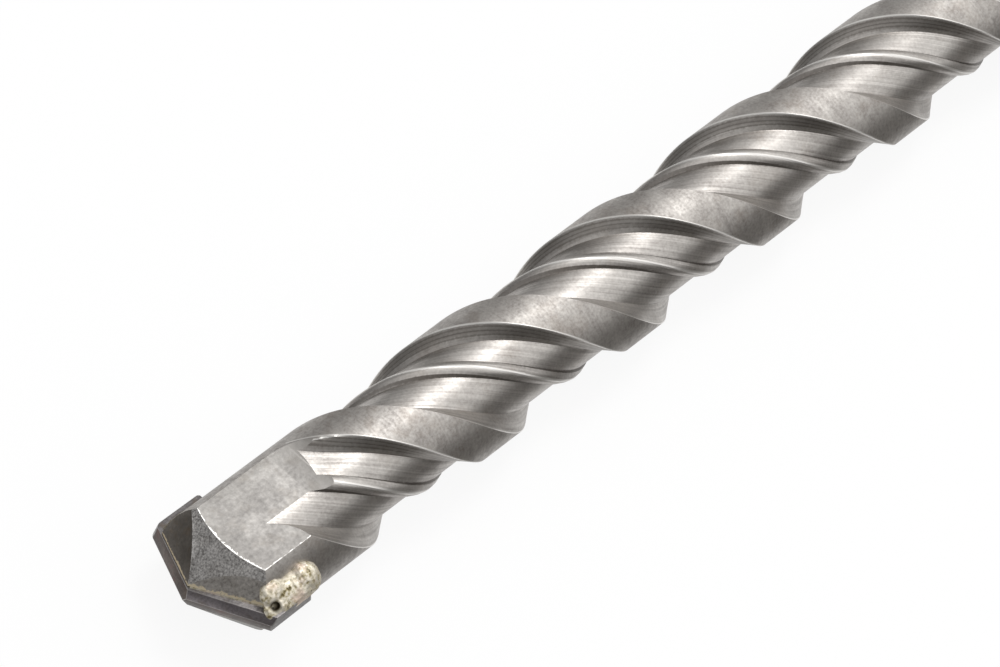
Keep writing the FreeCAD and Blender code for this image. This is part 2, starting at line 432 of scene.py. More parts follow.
class Shaping:
    """A geometry tree that moves the points of a piece by a rule and sets its material."""

    def __init__(self, name: str, sizes: dict[str, float]) -> None:
        """Starts the tree.

        Args:
            name: the tree's name.
            sizes: its named inputs with their values, in millimetres and degrees.
        """
        self.tree = bpy.data.node_groups.new(name, "GeometryNodeTree")
        face = self.tree.interface
        face.new_socket("Geometry", in_out="INPUT", socket_type="NodeSocketGeometry")
        for size, value in sizes.items():
            face.new_socket(size, in_out="INPUT", socket_type="NodeSocketFloat").default_value = value
        material = face.new_socket("Material", in_out="INPUT", socket_type="NodeSocketMaterial")
        self.material_input = material.identifier
        face.new_socket("Geometry", in_out="OUTPUT", socket_type="NodeSocketGeometry")
        self.given = add_node(self.tree, "NodeGroupInput").outputs
        self.position = add_node(self.tree, "GeometryNodeInputPosition").outputs[0]
        self.values = {size: self.given[size] for size in sizes}

    def finish(self, name: str, moves: bpy.types.NodeSocket) -> None:
        """Ends the tree: it moves the points, realises instances and sets the material.

        Args:
            name: Position or Offset, which says what the moves are.
            moves: each point's new position, or how far it is moved.
        """
        moved = add_node(self.tree, "GeometryNodeSetPosition", None,
                         {"Geometry": self.given["Geometry"], name: moves})
        real = add_node(self.tree, "GeometryNodeRealizeInstances", None, {"Geometry": moved.outputs[0]})
        dressed = add_node(self.tree, "GeometryNodeSetMaterial", None,
                           {"Geometry": real.outputs[0], "Material": self.given["Material"]})
        add_node(self.tree, "NodeGroupOutput", None, {"Geometry": dressed.outputs[0]})

    def apply(self, piece: Object, material: Material) -> None:
        """Shapes a piece and leaves it as a plain mesh.

        Args:
            piece: the piece, which changes.
            material: the material that the tree sets.
        """
        modifier = piece.modifiers.new("shaping", "NODES")
        modifier.node_group = self.tree
        modifier[self.material_input] = material
        applied(piece)


@dataclass(frozen=True)
class Places:
    """The shader group that says where on the bit a point is, in millimetres.

    Back is how far behind the point it is. Offset is the flute's, and Groove edge is the same but far away
    where the grooves have ended. From bevel, From land and From plate are distances to the bevel's rear
    border, up to the lands and to the slot's wall. From leading land is From land, but far away on the
    trailing sides. Behind plate is 1 behind the plate as the bit turns and 0 before it.
    """

    bit: BitSizes
    groove_front: float = 17.0
    groove_back: float = 119.0
    far_away: float = 100.0
    names: ClassVar[tuple[str, ...]] = (
        "Back", "Offset", "Groove edge", "From bevel", "From land", "From leading land", "From plate",
        "Behind plate")

    def build(self) -> NodeTree:
        """Makes the group.

        Returns:
            The group, with one output for each of the names and one for the position.
        """
        flute, grinding, plate = self.bit.flute, self.bit.grinding, self.bit.plate
        tree = bpy.data.node_groups.new("places_on_the_bit", "ShaderNodeTree")
        for name in self.names:
            tree.interface.new_socket(name, in_out="OUTPUT", socket_type="NodeSocketFloat")
        tree.interface.new_socket("Position", in_out="OUTPUT", socket_type="NodeSocketVector")
        coordinates = add_node(tree, "ShaderNodeTexCoord").outputs["Object"]
        position = add_node(tree, "ShaderNodeVectorMath", {"operation": "SCALE"},
                            {0: coordinates, "Scale": 1 / MM}).outputs[0]
        split = add_node(tree, "ShaderNodeSeparateXYZ", None, {0: position}).outputs
        values = {"x": split["X"], "y": split["Y"], "z": split["Z"]}
        turn = math.radians(plate.turn)
        bevel_start = grinding.bevel_axis_drop * grinding.bevel_slope - grinding.bevel_setback
        add_steps(tree, values, [
            ("Back", "SUBTRACT", LENGTH, "x"),
            ("angle", "ARCTAN2", "y", "z"),
            ("lead place", "MULTIPLY", "angle", flute.lead / (2 * math.pi)),
            ("from lead", "SUBTRACT", "Back", "lead place"),
            ("along section", "ADD", "from lead", flute.phase / flute.turn_rate()),
            ("Offset", "FLOORED_MODULO", "along section", flute.pitch()),
            ("y squared", "MULTIPLY", "y", "y"),
            ("z squared", "MULTIPLY", "z", "z"),
            ("squares", "ADD", "y squared", "z squared"),
            ("radius", "SQRT", "squares"),
            ("From land", "SUBTRACT", flute.land_radius, "radius"),
            ("side", "MULTIPLY", "y", "z"),
            ("trailing", "LESS_THAN", "side", 0.0),
            ("trailing away", "MULTIPLY", "trailing", self.far_away),
            ("From leading land", "ADD", "From land", "trailing away"),
            ("before grooves", "LESS_THAN", "Back", self.groove_front),
            ("behind grooves", "GREATER_THAN", "Back", self.groove_back),
            ("outside grooves", "MAXIMUM", "before grooves", "behind grooves"),
            ("pushed away", "MULTIPLY", "outside grooves", self.far_away),
            ("Groove edge", "ADD", "Offset", "pushed away"),
            ("height", "ABSOLUTE", "z"),
            ("dropped", "ADD", "height", grinding.bevel_axis_drop),
            ("dropped squared", "MULTIPLY", "dropped", "dropped"),
            ("cone squares", "ADD", "y squared", "dropped squared"),
            ("cone radius", "SQRT", "cone squares"),
            ("cone rise", "MULTIPLY", "cone radius", grinding.bevel_slope),
            ("before bevel", "SUBTRACT", "Back", "cone rise"),
            ("From bevel", "ADD", "before bevel", bevel_start),
            ("z part", "MULTIPLY", "z", math.cos(turn)),
            ("y part", "MULTIPLY", "y", math.sin(turn)),
            ("plate height", "SUBTRACT", "z part", "y part"),
            ("plate side", "ABSOLUTE", "plate height"),
            ("From plate", "SUBTRACT", "plate side", plate.half_thickness + plate.gap),
            ("y across", "MULTIPLY", "y", math.cos(turn)),
            ("z across", "MULTIPLY", "z", math.sin(turn)),
            ("plate across", "ADD", "y across", "z across"),
            ("plate quarter", "MULTIPLY", "plate across", "plate height"),
            ("Behind plate", "LESS_THAN", "plate quarter", 0.0),
        ])
        add_node(tree, "NodeGroupOutput", None,
                 {"Position": position, **{name: values[name] for name in self.names}})
        return tree


@dataclass(frozen=True)
class MetalShader:
    """What all the bit's metals have in common: noises, layers of colour and bumps."""

    name: str
    places: NodeTree
    metallic: float = 1.0

    def start(self, noises: dict[str, tuple[float, float]], roughness: float) -> tuple[NodeTree, dict]:
        """Makes the material.

        Args:
            noises: by name the size in millimetres and the number of octaves.
            roughness: how strong each octave is against the one before.

        Returns:
            The material's tree, and its sockets by name.
        """
        material = bpy.data.materials.new(self.name)
        material.use_nodes = True
        tree = material.node_tree
        tree.nodes["Principled BSDF"].inputs["Metallic"].default_value = self.metallic
        group = add_node(tree, "ShaderNodeGroup", {"node_tree": self.places}).outputs
        split = add_node(tree, "ShaderNodeSeparateXYZ", None, {0: group["Position"]}).outputs
        values = {socket.name: socket for socket in [*group, *split]}
        for name, (size, octaves) in noises.items():
            values[name] = add_node(tree, "ShaderNodeTexNoise", None,
                                    {"Vector": group["Position"], "Scale": 1.0 / size, "Detail": octaves,
                                     "Roughness": roughness}).outputs[0]
        return tree, values

    def finish(self, tree: NodeTree, values: dict, layers: list[tuple[str, str]],
               bumps: list[tuple[str, float]]) -> Material:
        """Links the material's shader.

        Args:
            tree: the material's tree.
            values: its sockets by name, with "rough" for the roughness.
            layers: for each layer of colour the name of its share and its tint. The lowest needs no share.
            bumps: for each bump the name of its height and its depth in millimetres.

        Returns:
            The material.
        """
        colour = linear(layers[0][1])
        for share, tint in layers[1:]:
            colour = add_node(tree, "ShaderNodeMix", {"data_type": "RGBA"},
                              {0: values[share], 6: colour, 7: linear(tint)}).outputs[2]
        relief = {}
        for height, depth in bumps:
            relief["Normal"] = add_node(tree, "ShaderNodeBump", None,
                                        {"Height": values[height], "Strength": 1.0, "Distance": depth * MM,
                                         **relief}).outputs[0]
        inputs = tree.nodes["Principled BSDF"].inputs
        tree.links.new(colour, inputs["Base Color"])
        tree.links.new(values["rough"], inputs["Roughness"])
        tree.links.new(relief["Normal"], inputs["Normal"])
        return bpy.data.materials[self.name]


class Lines(Enum):
    """The way that a machined surface's fine lines run.

    The first value says whether the first direction is the flute's offset in place of the axis. The others
    say for the first, second and third direction whether it crosses the lines.
    """

    HELIX = (True, True, False, False)
    TURNED = (False, True, False, False)
    LENGTHWISE = (False, False, True, True)
    UPRIGHT = (False, True, True, False)


@dataclass(frozen=True)
class Pattern:
    """One of a surface's patterns. Lines have their spacing as size, and a length."""

    size: float
    contrast: float
    depth: float = 0.0
    length: float = 0.0


@dataclass(frozen=True)
class Stain:
    """Patches of another colour."""

    tint: str = "#7A6A58"
    size: float = 3.0
    strength: float = 0.2


@dataclass(frozen=True)
class Mark:
    """A narrow band of another colour, such as a worn edge, a painted highlight or a band of painted shade.

    The band lies where a place on the bit, as Places gives it, comes near to a value.
    """

    place: str
    at: float
    half_width: float
    tint: str
    strength: float = 1.0
    ragged: float = 0.3


@dataclass(frozen=True)
class Finish:
    """A machined or fired metal surface."""

    name: str
    dark: str
    light: str
    roughness: tuple[float, float]
    direction: Lines
    lines: Pattern
    blotch: Pattern
    grain: Pattern
    stain: Stain = Stain()
    marks: tuple[Mark, ...] = ()
    octaves: ClassVar[dict[str, float]] = {"blotch": 4.0, "grain": 3.0, "stain": 5.0}
    octave_strength: ClassVar[float] = 0.6
    line_octaves: ClassVar[float] = 3.0
    line_octave_strength: ClassVar[float] = 0.65
    stain_range: ClassVar[tuple[float, float]] = (0.52, 0.68)
    line_drift: ClassVar[float] = 2.7
    raggedness: ClassVar[float] = 3.0
    mark_core: ClassVar[float] = 0.35

    def build(self, places: NodeTree) -> Material:
        """Makes the material.

        Args:
            places: the group that says where on the bit a point is.

        Returns:
            The material.
        """
        metal = MetalShader(self.name, places)
        noises = {name: (getattr(self, name).size, octaves) for name, octaves in self.octaves.items()}
        tree, values = metal.start(noises, self.octave_strength)
        helical, *crosses = self.direction.value
        directions = ("Offset" if helical else "X", "Y", "Z")
        steps = [("drift", "DIVIDE", "X", self.line_drift * self.lines.length)]
        for name, crossing in zip(directions, crosses):
            steps.append((name, "DIVIDE", name, self.lines.size if crossing else self.lines.length))
        stretched = dict(values)
        add_steps(tree, stretched, steps)
        vector = add_node(tree, "ShaderNodeCombineXYZ", None,
                          {number: stretched[name] for number, name in enumerate(directions)})
        values["lines"] = add_node(tree, "ShaderNodeTexNoise", {"noise_dimensions": "4D"},
                                   {"Vector": vector.outputs[0], "W": stretched["drift"], "Scale": 1.0,
                                    "Detail": self.line_octaves,
                                    "Roughness": self.line_octave_strength}).outputs[0]
        # Each noise lies round one half, and moves the tone up and down from there by its contrast.
        values["tone"] = 0.5 - self.lines.contrast - self.blotch.contrast - self.grain.contrast
        low, high = self.roughness
        add_steps(tree, values, [
            ("line part", "MULTIPLY", "lines", 2 * self.lines.contrast),
            ("blotch part", "MULTIPLY", "blotch", 2 * self.blotch.contrast),
            ("grain part", "MULTIPLY", "grain", 2 * self.grain.contrast),
            ("tone", "ADD", "tone", "line part"),
            ("tone", "ADD", "tone", "blotch part"),
            ("tone", "ADD", "tone", "grain part"),
            ("rough", "LINEAR", "tone", 0.0, 1.0, high, low),
            ("stained", "LINEAR", "stain", *self.stain_range, 0.0, self.stain.strength),
            ("both noises", "ADD", "grain", "blotch"),
            ("loose", "SUBTRACT", "both noises", 1.0),
        ])
        layers = [("", self.dark), ("tone", self.light), ("stained", self.stain.tint)]
        for number, mark in enumerate(self.marks):
            name = f"mark {number}"
            layers.append((name, mark.tint))
            add_steps(tree, values, [
                ("away", "SUBTRACT", mark.place, mark.at),
                ("distance", "ABSOLUTE", "away"),
                ("ragged", "MULTIPLY", "loose", self.raggedness * mark.ragged * mark.half_width),
                ("edge", "ADD", "distance", "ragged"),
                (name, "SMOOTHSTEP", "edge", self.mark_core * mark.half_width, mark.half_width,
                 mark.strength, 0.0),
            ])
        return metal.finish(tree, values, layers, [("lines", self.lines.depth), ("grain", self.grain.depth)])


@dataclass(frozen=True)
class BrazeFinish:
    """Silver-brass braze as it ran and set: pale dull gold with pink patches, dark pits and flux crumbs."""

    name: str = "set_brass_braze"
    pit: str = "#4E4326"
    body: str = "#A89C78"
    pale: str = "#DDD6C6"
    blush: str = "#D9C2B4"
    # The painted shade inside the beads' holes.
    hollow_shade: str = "#3C3420"
    film: str = "#5C5344"
    metallic: float = 0.75
    pit_size: float = 0.45
    pit_octaves: float = 4.0
    pit_depth: float = 0.04
    pit_levels: tuple[float, float, float] = (0.33, 0.42, 0.56)
    patch_size: float = 1.6
    patch_octaves: float = 3.0
    patch_levels: tuple[float, float] = (0.42, 0.6)
    patch_share: float = 0.65
    blush_size: float = 2.72
    blush_octaves: float = 2.0
    blush_levels: tuple[float, float] = (0.52, 0.66)
    blush_share: float = 0.6
    hole_rim: tuple[float, float] = (0.4, 0.7)
    film_share: float = 0.85
    rough_levels: tuple[float, float, float, float] = (0.35, 0.65, 0.7, 0.38)
    octave_strength: float = 0.65

    def build(self, places: NodeTree, holes: np.ndarray) -> Material:
        """Makes the material.

        Args:
            places: the group that says where on the bit a point is.
            holes: the middles of the two beads' holes in millimetres, whose insides are painted dark as
                painted shade.

        Returns:
            The material.
        """
        metal = MetalShader(self.name, places, self.metallic)
        tree, values = metal.start({"pits": (self.pit_size, self.pit_octaves),
                                    "patches": (self.patch_size, self.patch_octaves),
                                    "blushes": (self.blush_size, self.blush_octaves)}, self.octave_strength)
        for number, hole in enumerate(holes):
            values[f"hole {number}"] = add_node(
                tree, "ShaderNodeVectorMath", {"operation": "DISTANCE"},
                {0: values["Position"], 1: Vector(hole)}).outputs["Value"]
        pit, body, pale = self.pit_levels
        add_steps(tree, values, [
            ("body", "LINEAR", "pits", pit, body, 0.0, 1.0),
            ("pale", "LINEAR", "pits", body, pale, 0.0, 1.0),
            ("pale patch", "LINEAR", "patches", *self.patch_levels, 0.0, self.patch_share),
            ("blush", "LINEAR", "blushes", *self.blush_levels, 0.0, self.blush_share),
            ("nearest", "MINIMUM", "hole 0", "hole 1"),
            # Painted shade: the insides of the beads' holes are darkened.
            ("hollow_shade", "LINEAR", "nearest", *self.hole_rim, 1.0, 0.0),
            ("film", "MULTIPLY", "Behind plate", self.film_share),
            ("rough", "LINEAR", "pits", *self.rough_levels),
        ])
        layers = [("", self.pit), ("body", self.body), ("pale", self.pale), ("pale patch", self.pale),
                  ("blush", self.blush), ("hollow_shade", self.hollow_shade), ("film", self.film)]
        return metal.finish(tree, values, layers, [("pits", self.pit_depth)])


@dataclass(frozen=True)
class FlutedBar:
    """The bar with its shank, collar and flutes, before the head is ground."""

    bit: BitSizes
    columns: int = 144
    collar_rows: int = 14
    front_margin: float = 1.5
    rear_margin: float = 3.0
    nudge: float = 0.001

    def grid(self) -> Object:
        """Makes the blank as a grid whose diagonals follow the helix, with rows on the flute's own edges.

        Returns:
            The blank, closed at both ends.
        """
        flute, turning = self.bit.flute, self.bit.turning
        step = flute.lead / self.columns
        first = -int(self.front_margin / step) - 1
        count = int((flute.end_back + self.rear_margin + self.front_margin) / step)
        backs = (-flute.phase / flute.turn_rate()) % step + step * np.arange(first, count)
        rings = [circle(place, radius, self.columns) for place, radius in turning.outline()]
        collar_start = turning.shank_length + turning.rim_width
        for place in np.linspace(collar_start, LENGTH - backs[-1], self.collar_rows)[1:-1]:
            rings.append(circle(place, turning.land_radius, self.columns))
        pitch_rows = round(flute.pitch() / step)
        key_offsets = np.array([offset for offset, _ in flute.section()])
        key_rows = np.round(key_offsets / step)
        degrees = np.arange(self.columns) * 360.0 / self.columns
        for back in backs[::-1]:
            offset = back - (degrees - flute.phase) / flute.turn_rate()
            row = np.round((offset % flute.pitch()) / step) % pitch_rows
            shift = np.interp(row, key_rows, key_offsets) - row * step
            at_end = back in (backs[0], backs[-1])
            rings.append(circle(LENGTH - back - shift * (not at_end), turning.land_radius, self.columns))
        faces = [list(range(self.columns))]
        last = (len(rings) - 1) * self.columns
        for base in range(0, last, self.columns):
            for place in range(self.columns):
                here = base + place
                beside = base + (place + 1) % self.columns
                faces.append([here, here + self.columns, beside])
                faces.append([beside, here + self.columns, beside + self.columns])
        faces.append([last + place for place in range(self.columns)][::-1])
        return mesh_from("steel_body", np.vstack(rings), faces)

    def build(self, material: Material) -> Object:
        """Makes the fluted bar as a plain mesh, with the two helical grooves sunk by a geometry tree.

        Args:
            material: the steel of the flutes.

        Returns:
            The bar, closed at both ends.
        """
        flute = self.bit.flute
        shaping = Shaping("two_start_flute", {
            "Bit length": LENGTH,
            "Land radius": flute.land_radius,
            "Pitch": flute.pitch(),
            "Degrees per mm": flute.turn_rate(),
            "Phase": flute.phase,
            "Head runout": flute.head_runout,
            "Head lift rate": flute.head_lift_rate,
            "Collar start": flute.collar_start(),
            "Collar tilt": flute.collar_tilt,
            "Collar lift rate": flute.collar_lift_rate,
        })
        tree, values = shaping.tree, shaping.values
        place = add_node(tree, "ShaderNodeSeparateXYZ", None, {0: shaping.position}).outputs
        values.update({"x": place["X"], "y": place["Y"], "z": place["Z"]})
        add_steps(tree, values, [
            ("along", "DIVIDE", "x", MM),
            ("back", "SUBTRACT", "Bit length", "along"),
            ("angle", "ARCTAN2", "y", "z"),
            ("turn", "DEGREES", "angle"),
            ("y squared", "MULTIPLY", "y", "y"),
            ("z squared", "MULTIPLY", "z", "z"),
            ("squares", "ADD", "y squared", "z squared"),
            ("metres", "SQRT", "squares"),
            ("radius", "DIVIDE", "metres", MM),
            ("turn from phase", "SUBTRACT", "turn", "Phase"),
            ("lead place", "DIVIDE", "turn from phase", "Degrees per mm"),
            ("offset", "SUBTRACT", "back", "lead place"),
            ("nudged", "ADD", "offset", self.nudge),
            ("pitches", "DIVIDE", "nudged", "Pitch"),
            ("groove", "FLOOR", "pitches"),
            ("groove start", "MULTIPLY", "groove", "Pitch"),
            ("inside", "SUBTRACT", "offset", "groove start"),
            ("groove turn", "MULTIPLY", "groove", 360.0 / flute.starts),
            ("helix turn", "ADD", "turn", "groove turn"),
            ("ahead", "SUBTRACT", "Head runout", "helix turn"),
            ("early", "MAXIMUM", "ahead", 0.0),
            ("early squared", "MULTIPLY", "early", "early"),
            ("head lift", "MULTIPLY", "Head lift rate", "early squared"),
            ("from edge", "SUBTRACT", "inside", flute.width()),
            ("tilted", "MULTIPLY", "Collar tilt", "from edge"),
            ("tilted start", "ADD", "Collar start", "tilted"),
            ("behind", "SUBTRACT", "helix turn", "tilted start"),
            ("late", "MAXIMUM", "behind", 0.0),
            ("late squared", "MULTIPLY", "late", "late"),
            ("collar lift", "MULTIPLY", "Collar lift rate", "late squared"),
            ("lift", "ADD", "head lift", "collar lift"),
        ])
        values["depth"] = values["Land radius"]
        section = flute.section()
        for (near, near_radius), (far, far_radius) in zip(section, section[1:]):
            if far_radius != near_radius:
                add_steps(tree, values, [
                    ("ramp", "LINEAR", "inside", near, far, 0.0, far_radius - near_radius),
                    ("depth", "ADD", "depth", "ramp"),
                ])
        add_steps(tree, values, [
            ("lifted", "ADD", "depth", "lift"),
            ("lowest", "MINIMUM", "radius", "lifted"),
            ("share", "DIVIDE", "lowest", "radius"),
            ("new y", "MULTIPLY", "y", "share"),
            ("new z", "MULTIPLY", "z", "share"),
        ])
        moved = add_node(tree, "ShaderNodeCombineXYZ", None,
                         {"X": values["x"], "Y": values["new y"], "Z": values["new z"]})
        bar = self.grid()
        shaping.finish("Position", moved.outputs[0])
        shaping.apply(bar, material)
        return bar


@dataclass(frozen=True)
class ShankGrooves:
    """The cutters for the two open driving grooves and the two closed locking grooves."""

    turning: Turning
    drive_length: float = 30.5
    drive_mouth: float = 5.0
    drive_floor_width: float = 3.4
    drive_floor_height: float = 2.5
    lock_start: float = 5.4
    lock_end: float = 27.0
    lock_ramp: float = 2.9
    lock_radius: float = 4.5
    lock_floor_height: float = 3.2
    lock_tip: float = 0.05
    arc_steps: int = 24

    def drive(self) -> Rings:
        """What one open groove takes away.

        Returns:
            Its outline at its floor and above the bar.
        """
        radius = self.turning.shank_radius
        mouth_height = math.sqrt(radius**2 - (self.drive_mouth / 2) ** 2)
        spread = (self.drive_mouth - self.drive_floor_width) / 2 / (mouth_height - self.drive_floor_height)
        end = self.drive_length - self.drive_mouth / 2
        rings = []
        for height in (self.drive_floor_height, 2 * radius):
            half = self.drive_floor_width / 2 + spread * (height - self.drive_floor_height)
            points = []
            for angle in np.linspace(-math.pi / 2, math.pi / 2, self.arc_steps + 1):
                points.append([end + half * math.cos(angle), half * math.sin(angle), height])
            rings.append(np.array([*points, [-radius, half, height], [-radius, -half, height]]))
        return rings

    def lock(self) -> Rings:
        """What one closed groove takes away.

        Returns:
            Circles that shrink towards its two sloping ends.
        """
        centre = self.lock_floor_height + self.lock_radius
        above = centre - self.turning.shank_radius
        tail = above * self.lock_ramp / (self.lock_radius - above)
        circles = ((self.lock_start - tail + self.lock_tip, self.lock_tip),
                   (self.lock_start + self.lock_ramp, self.lock_radius),
                   (self.lock_end - self.lock_ramp, self.lock_radius),
                   (self.lock_end + tail - self.lock_tip, self.lock_tip))
        return [circle(place, radius, 2 * self.arc_steps) + [0, centre, 0] for place, radius in circles]

    def cutters(self) -> list[Object]:
        """All four cutters."""
        return [loft(rings) for rings in both(self.drive()) + both(self.lock())]


@dataclass(frozen=True)
class HeadCutters:
    """The cutters that give the head its flats, bevels, gashes, heel facets and slot."""

    bit: BitSizes
    flat_top: float = 7.6
    far: float = 30.0
    in_front: float = 5.0
    block_length: float = 15.0
    block_half_width: float = 20.0
    cone_tip: float = 0.02
    cone_steps: int = 256
    arc_steps: int = 24

    def slanted(self, planes: tuple[tuple[float, float, float], ...], turn: float) -> list[Rings]:
        """Everything in front of slanting planes.

        Args:
            planes: for each how far behind the point it meets the axis, and how much further back it is for
                each millimetre along Y and along Z.
            turn: how far they are turned round the axis, in degrees.

        Returns:
            For each plane the space on both sides of the head.
        """
        spaces = []
        for at_axis, across, up in planes:
            corners = []
            for side, height in ((-1, -1), (1, -1), (1, 1), (-1, 1)):
                back = at_axis + (across * side + up * height) * self.far
                corners.append([LENGTH - back, side * self.far, height * self.far])
            near = turned(corners, turn)
            spaces.extend(both([near, near + [4 * self.far, 0, 0]]))
        return spaces

    def facets(self) -> list[Rings]:
        """The spaces in front of the facets that are ground before and behind the lips.

        Returns:
            Two spaces for the gashes, and two for the heel facets.
        """
        sizes = self.bit.grinding
        return self.slanted(((sizes.gash_setback, sizes.gash_lip_slope, sizes.gash_outward_slope),
                             (sizes.heel_setback, -sizes.point_slope, sizes.heel_outward_slope)),
                            self.bit.plate.turn)

    def lips(self, turn: float, deeper: float = 0.0) -> list[Rings]:
        """The spaces in front of the plate's reliefs and rake chamfers.

        Args:
            turn: how far the plate is turned, in degrees.
            deeper: how far behind those surfaces the spaces reach.

        Returns:
            Four spaces.
        """
        plate = self.bit.plate
        slope = self.bit.grinding.point_slope
        return self.slanted(((deeper, slope, -plate.relief_slope),
                             (plate.rake_setback() + deeper, slope, plate.rake_slope)), turn)

    def crossing(self, outline: list[tuple[float, float]]) -> Rings:
        """A solid that reaches far to both sides along Y, from its distances behind the point and heights."""
        return [np.array([[LENGTH - back, across, height] for back, height in outline])
                for across in (-self.far, self.far)]

    def flat(self) -> Rings:
        """What is milled off above one flat, with an end that fades out in a curve.

        Returns:
            The space.
        """
        sizes = self.bit.grinding
        radius = sizes.flat_end_radius
        outline = [(-self.far, sizes.flat_height)]
        last_turn = math.acos(1 - (self.flat_top - sizes.flat_height) / radius)
        for turn in np.linspace(0, last_turn, self.arc_steps + 1):
            outline.append((sizes.flat_length + radius * math.sin(turn),
                            sizes.flat_height + radius * (1 - math.cos(turn))))
        return self.crossing([*outline, (outline[-1][0], self.far), (-self.far, self.far)])

    def slot(self) -> Rings:
        """The slot for the plate.

        Returns:
            The space.
        """
        plate = self.bit.plate
        half = plate.half_thickness + plate.gap
        back = plate.length + plate.gap
        outline = [(back, -half), (back, half), (-self.in_front, half), (-self.in_front, -half)]
        return [turned(ring, plate.turn) for ring in self.crossing(outline)]

    def block(self) -> Rings:
        """The room round the front end.

        Returns:
            The space.
        """
        wide = self.block_half_width
        corners = ((-wide, -wide), (wide, -wide), (wide, wide), (-wide, wide))
        return [np.array([[place, across, height] for across, height in corners])
                for place in (LENGTH - self.block_length, LENGTH + self.in_front)]

    def cone(self) -> Rings:
        """What lies behind the coned bevel.

        Returns:
            The cone.
        """
        sizes = self.bit.grinding
        tip = LENGTH - sizes.bevel_setback + sizes.bevel_axis_drop * sizes.bevel_slope
        circles = ((tip, self.cone_tip), (tip - self.far, self.far / sizes.bevel_slope))
        drop = np.array([0, 0, sizes.bevel_axis_drop])
        return [circle(place, radius, self.cone_steps) - drop for place, radius in circles]

    def grind(self, bar: Object) -> None:
        """Cuts the head out of the bar's front end.

        Args:
            bar: the fluted bar, which changes.
        """
        for cone in both(self.cone()):
            block = loft(self.block())
            combine(block, [loft(cone)])
            combine(bar, [block])
        combine(bar, [loft(rings) for rings in both(self.flat()) + self.facets()])


class Zone(Enum):
    """The surfaces of the steel body, in the order of its materials."""

    FLUTE = 0
    LAND = 1
    SHANK = 2
    GROOVE = 3
    END = 4
    FLAT = 5
    BEVEL = 6
    GASH = 7
    HEEL = 8


# The patterns of each finish are its lines, its blotches and its grain. A mark has its place and the value
# there, its half width, its tint, and then how strong and how ragged it is.
# Shot-blasted and tempered tool steel, milled by a helical cutter: satin, with fine lines along the helix,
# bright where the lands' edges have rubbed. Its marks also paint light and shade: a painted highlight along
# the rib's crest, and painted shade at the rib's foot, at the step behind it and over the front flank.
FLUTE_STEEL = Finish(
    "milled_flute_steel", "#8A8581", "#C9C5C0", (0.34, 0.48), Lines.HELIX,
    Pattern(0.22, 0.8, 0.008, 9.0), Pattern(5.0, 0.5), Pattern(0.3, 0.4, 0.006), Stain(strength=0.15),
    marks=(
        # Painted shade along the wall at the foot of the rib.
        Mark("Offset", 7.34, 0.2, "#6A645F", 0.6),
        # Painted highlight along the rib's crest.
        Mark("Offset", 8.5, 0.35, "#F4F2EE", 0.6),
        # Painted shade along the step behind the rib.
        Mark("Offset", 9.86, 0.16, "#5C5752", 0.8),
        # Painted shade over the whole front flank; the three thin dark marks after it are its machining
        # streaks.
        Mark("Offset", 14.75, 0.65, "#7A756F", 0.5, 0.2),
        Mark("Offset", 14.4, 0.1, "#5E5954", 0.45),
        Mark("Offset", 14.72, 0.08, "#55504C", 0.45),
        Mark("Offset", 15.05, 0.1, "#5E5954", 0.45),
        Mark("From land", 0.0, 0.14, "#F2F0EC", 0.8),
    ),
)
# The same steel where it was only turned and blasted: matt and a little mottled.
LAND_STEEL = Finish(
    "blasted_land_steel", "#8C8783", "#BBB7B2", (0.42, 0.55), Lines.TURNED,
    Pattern(0.3, 0.35, 0.004, 10.0), Pattern(2.2, 0.7), Pattern(0.3, 0.7, 0.012), Stain("#84776B", 2.5, 0.25),
    marks=(
        Mark("Groove edge", 0.0, 0.16, "#F0EEEA", 0.6),
        Mark("Groove edge", 15.35, 0.2, "#F0EEEA", 0.6),
    ),
)
# Turned and left bright, with fine rings round it.
SHANK_STEEL = Finish(
    "turned_shank_steel", "#8F8A85", "#D6D2CD", (0.24, 0.36), Lines.TURNED,
    Pattern(0.2, 1.1, 0.012, 14.0), Pattern(5.0, 0.4), Pattern(0.25, 0.3, 0.004), Stain(strength=0.12),
)
# Milled grooves of the shank, with brownish patches from hardening.
GROOVE_STEEL = Finish(
    "milled_groove_steel", "#857D77", "#C4BEB8", (0.30, 0.44), Lines.LENGTHWISE,
    Pattern(0.25, 0.8, 0.01, 10.0), Pattern(1.6, 0.7), Pattern(0.3, 0.5, 0.008), Stain("#6E5A50", 1.8, 0.4),
)
# The sheared end face: dark, rough and a little blue and brown.
END_STEEL = Finish(
    "sheared_end_steel", "#4C4C50", "#A19A92", (0.42, 0.6), Lines.UPRIGHT,
    Pattern(0.5, 0.8, 0.05, 3.0), Pattern(1.2, 0.9), Pattern(0.35, 0.8, 0.05), Stain("#5A4636", 1.3, 0.5),
)
# The milled flats, matt and light with faint stains, and burred bright where the bevel was ground; their rear
# ends are lightened as a painted highlight, to meet the floors' highlight without a step.
FLAT_STEEL = Finish(
    "milled_flat_steel", "#807D7A", "#A3A09C", (0.4, 0.52), Lines.LENGTHWISE,
    Pattern(0.5, 0.25, 0.003, 6.0), Pattern(2.0, 0.8), Pattern(0.4, 0.6, 0.01), Stain("#868078", 1.8, 0.35),
    marks=(
        Mark("From bevel", 0.0, 0.15, "#F8F6F2", 1.0, 1.8),
        Mark("From leading land", 0.0, 0.06, "#F8F6F2", 0.8, 1.6),
        # Painted highlight: lightens the flat's rear end towards the floors' highlight.
        Mark("Back", 18.2, 3.2, "#C4C0BB", 0.4, 0.0),
    ),
)
# The coned bevel, left speckled by blasting over a coarse grind.
BEVEL_STEEL = Finish(
    "blasted_bevel_steel", "#7E7B79", "#E4E1DE", (0.4, 0.55), Lines.TURNED,
    Pattern(0.4, 0.2, 0.004, 2.0), Pattern(1.8, 0.5), Pattern(0.2, 1.5, 0.025), Stain(strength=0.1),
)
